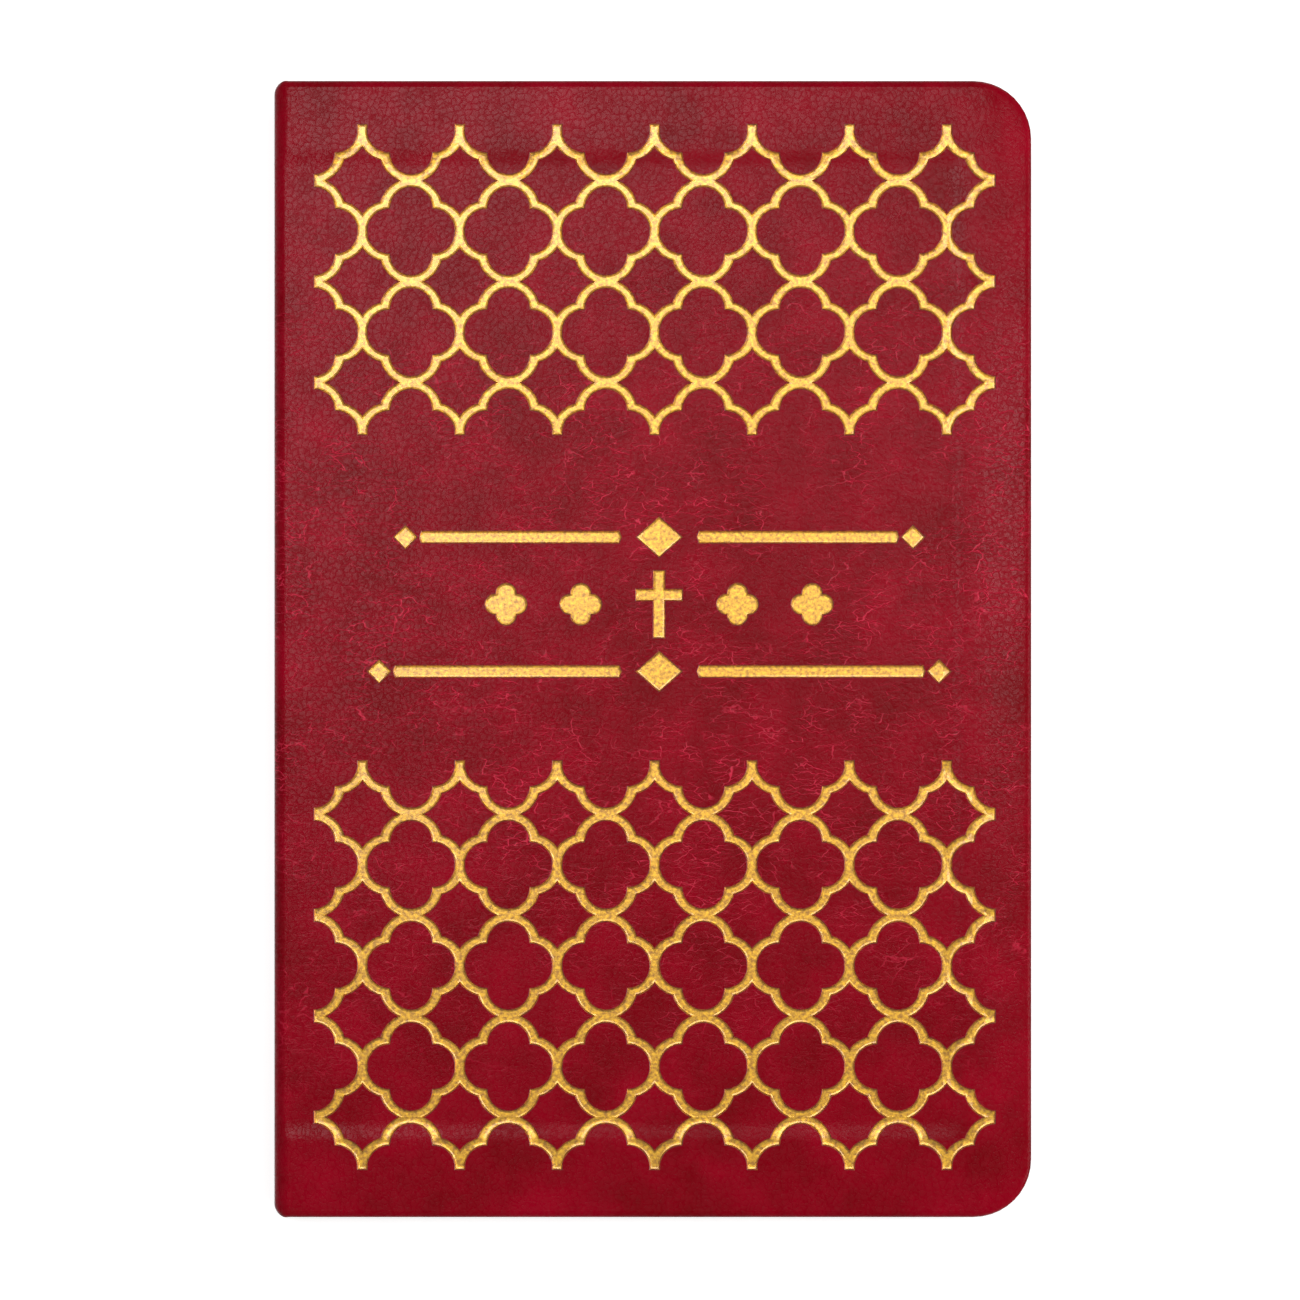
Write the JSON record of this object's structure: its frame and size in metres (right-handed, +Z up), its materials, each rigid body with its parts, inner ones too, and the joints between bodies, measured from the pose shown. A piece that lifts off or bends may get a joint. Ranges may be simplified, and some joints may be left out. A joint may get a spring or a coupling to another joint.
{
  "type": "prayer book",
  "caption": "Pocket prayer book with a flexible red imitation-leather cover, rounded fore-edge corners, sewn sections, endpapers and head and tail bands; covers and leaves open.",
  "frame": {"origin": "under the middle of the closed book, on the surface that it lies on", "axes": "+X from the spine to the fore edge, +Y from the tail to the head, +Z up through the thickness, back cover down"},
  "size_m": [0.1016, 0.1524, 0.012],
  "materials": {
    "cover_leather": "deep red imitation leather, fine pebble grain, semi-gloss",
    "binders_board": "grey-brown flexible board",
    "liner_paper": "plain liner paper",
    "endpaper": "uncoated ivory endpaper",
    "mull_cloth": "open-weave starched cotton",
    "band_cloth": "woven band, red and white stripe",
    "thread": "waxed white sewing thread",
    "page_paper": "uncoated cream book paper"
  },
  "bodies": {
    "spine": {"spine_leather": "cover_leather", "spine_inlay": "binders_board", "spine_mull": "mull_cloth", "headband": "band_cloth", "tailband": "band_cloth", "sewing_thread": "thread", "section_1_folds": "page_paper", "section_2_folds": "page_paper", "section_3_folds": "page_paper", "section_4_folds": "page_paper", "section_5_folds": "page_paper", "section_6_folds": "page_paper", "section_7_folds": "page_paper"},
    "front_cover": {"front_cover_leather": "cover_leather", "front_board": "binders_board", "front_liner": "liner_paper", "front_pastedown": "endpaper"},
    "back_cover": {"back_cover_leather": "cover_leather", "back_board": "binders_board", "back_liner": "liner_paper", "back_pastedown": "endpaper"},
    "front_flyleaf": {"front_flyleaf": "endpaper"},
    "back_flyleaf": {"back_flyleaf": "endpaper"},
    "section_1_front_leaves": {"section_1_front_leaves": "page_paper"},
    "section_1_back_leaves": {"section_1_back_leaves": "page_paper"},
    "section_2_front_leaves": {"section_2_front_leaves": "page_paper"},
    "section_2_back_leaves": {"section_2_back_leaves": "page_paper"},
    "section_3_front_leaves": {"section_3_front_leaves": "page_paper"},
    "section_3_back_leaves": {"section_3_back_leaves": "page_paper"},
    "section_4_front_leaves": {"section_4_front_leaves": "page_paper"},
    "section_4_back_leaves": {"section_4_back_leaves": "page_paper"},
    "section_5_front_leaves": {"section_5_front_leaves": "page_paper"},
    "section_5_back_leaves": {"section_5_back_leaves": "page_paper"},
    "section_6_front_leaves": {"section_6_front_leaves": "page_paper"},
    "section_6_back_leaves": {"section_6_back_leaves": "page_paper"},
    "section_7_front_leaves": {"section_7_front_leaves": "page_paper"},
    "section_7_back_leaves": {"section_7_back_leaves": "page_paper"}
  },
  "joints": [
    {"name": "front_cover_hinge", "type": "hinge", "parent": "spine", "child": "front_cover", "pos_m": [-0.05095, 0, 0.00936], "axis": [0, -1, 0], "range_deg": [0, 180]},
    {"name": "back_cover_hinge", "type": "hinge", "parent": "spine", "child": "back_cover", "pos_m": [-0.05095, 0, 0.0026], "axis": [0, 1, 0], "range_deg": [0, 180]},
    {"name": "front_flyleaf_turn", "type": "hinge", "parent": "spine", "child": "front_flyleaf", "pos_m": [-0.04811, 0, 0.00978], "axis": [0, -1, 0], "range_deg": [0, 179.1]},
    {"name": "section_1_front_leaves_turn", "type": "hinge", "parent": "spine", "child": "section_1_front_leaves", "pos_m": [-0.04811, 0, 0.00978], "axis": [0, -1, 0], "range_deg": [0, 178.02]},
    {"name": "section_1_back_leaves_turn", "type": "hinge", "parent": "spine", "child": "section_1_back_leaves", "pos_m": [-0.04811, 0, 0.00978], "axis": [0, -1, 0], "range_deg": [0, 176.76]},
    {"name": "section_2_front_leaves_turn", "type": "hinge", "parent": "spine", "child": "section_2_front_leaves", "pos_m": [-0.04811, 0, 0.00978], "axis": [0, -1, 0], "range_deg": [0, 175.32]},
    {"name": "section_2_back_leaves_turn", "type": "hinge", "parent": "spine", "child": "section_2_back_leaves", "pos_m": [-0.04811, 0, 0.00978], "axis": [0, -1, 0], "range_deg": [0, 173.7]},
    {"name": "section_3_front_leaves_turn", "type": "hinge", "parent": "spine", "child": "section_3_front_leaves", "pos_m": [-0.04811, 0, 0.00978], "axis": [0, -1, 0], "range_deg": [0, 171.72]},
    {"name": "section_3_back_leaves_turn", "type": "hinge", "parent": "spine", "child": "section_3_back_leaves", "pos_m": [-0.04811, 0, 0.00978], "axis": [0, -1, 0], "range_deg": [0, 169.2]},
    {"name": "section_4_front_leaves_turn", "type": "hinge", "parent": "spine", "child": "section_4_front_leaves", "pos_m": [-0.04811, 0, 0.00978], "axis": [0, -1, 0], "range_deg": [0, 165.6]},
    {"name": "back_flyleaf_turn", "type": "hinge", "parent": "spine", "child": "back_flyleaf", "pos_m": [-0.04811, 0, 0.00218], "axis": [0, 1, 0], "range_deg": [0, 180]},
    {"name": "section_7_back_leaves_turn", "type": "hinge", "parent": "spine", "child": "section_7_back_leaves", "pos_m": [-0.04811, 0, 0.00218], "axis": [0, 1, 0], "range_deg": [0, 180]},
    {"name": "section_7_front_leaves_turn", "type": "hinge", "parent": "spine", "child": "section_7_front_leaves", "pos_m": [-0.04811, 0, 0.00218], "axis": [0, 1, 0], "range_deg": [0, 180]},
    {"name": "section_6_back_leaves_turn", "type": "hinge", "parent": "spine", "child": "section_6_back_leaves", "pos_m": [-0.04811, 0, 0.00218], "axis": [0, 1, 0], "range_deg": [0, 180]},
    {"name": "section_6_front_leaves_turn", "type": "hinge", "parent": "spine", "child": "section_6_front_leaves", "pos_m": [-0.04811, 0, 0.00218], "axis": [0, 1, 0], "range_deg": [0, 2.2]},
    {"name": "section_5_back_leaves_turn", "type": "hinge", "parent": "spine", "child": "section_5_back_leaves", "pos_m": [-0.04811, 0, 0.00218], "axis": [0, 1, 0], "range_deg": [0, 1.66]},
    {"name": "section_5_front_leaves_turn", "type": "hinge", "parent": "spine", "child": "section_5_front_leaves", "pos_m": [-0.04811, 0, 0.00218], "axis": [0, 1, 0], "range_deg": [0, 1.12]},
    {"name": "section_4_back_leaves_turn", "type": "hinge", "parent": "spine", "child": "section_4_back_leaves", "pos_m": [-0.04811, 0, 0.00218], "axis": [0, 1, 0], "range_deg": [0, 0.558]}
  ],
  "couplings": [
    {"joint": "front_flyleaf_turn", "follows": "front_cover_hinge", "ratio": 0.995},
    {"joint": "section_1_front_leaves_turn", "follows": "front_cover_hinge", "ratio": 0.989},
    {"joint": "section_1_back_leaves_turn", "follows": "front_cover_hinge", "ratio": 0.982},
    {"joint": "section_2_front_leaves_turn", "follows": "front_cover_hinge", "ratio": 0.974},
    {"joint": "section_2_back_leaves_turn", "follows": "front_cover_hinge", "ratio": 0.965},
    {"joint": "section_3_front_leaves_turn", "follows": "front_cover_hinge", "ratio": 0.954},
    {"joint": "section_3_back_leaves_turn", "follows": "front_cover_hinge", "ratio": 0.94},
    {"joint": "section_4_front_leaves_turn", "follows": "front_cover_hinge", "ratio": 0.92},
    {"joint": "back_flyleaf_turn", "follows": "back_cover_hinge", "ratio": 1},
    {"joint": "section_7_back_leaves_turn", "follows": "back_cover_hinge", "ratio": 1},
    {"joint": "section_7_front_leaves_turn", "follows": "back_cover_hinge", "ratio": 1},
    {"joint": "section_6_back_leaves_turn", "follows": "back_cover_hinge", "ratio": 1},
    {"joint": "section_6_front_leaves_turn", "follows": "back_cover_hinge", "ratio": 0.0122},
    {"joint": "section_5_back_leaves_turn", "follows": "back_cover_hinge", "ratio": 0.0092},
    {"joint": "section_5_front_leaves_turn", "follows": "back_cover_hinge", "ratio": 0.0062},
    {"joint": "section_4_back_leaves_turn", "follows": "back_cover_hinge", "ratio": 0.0031}
  ]
}
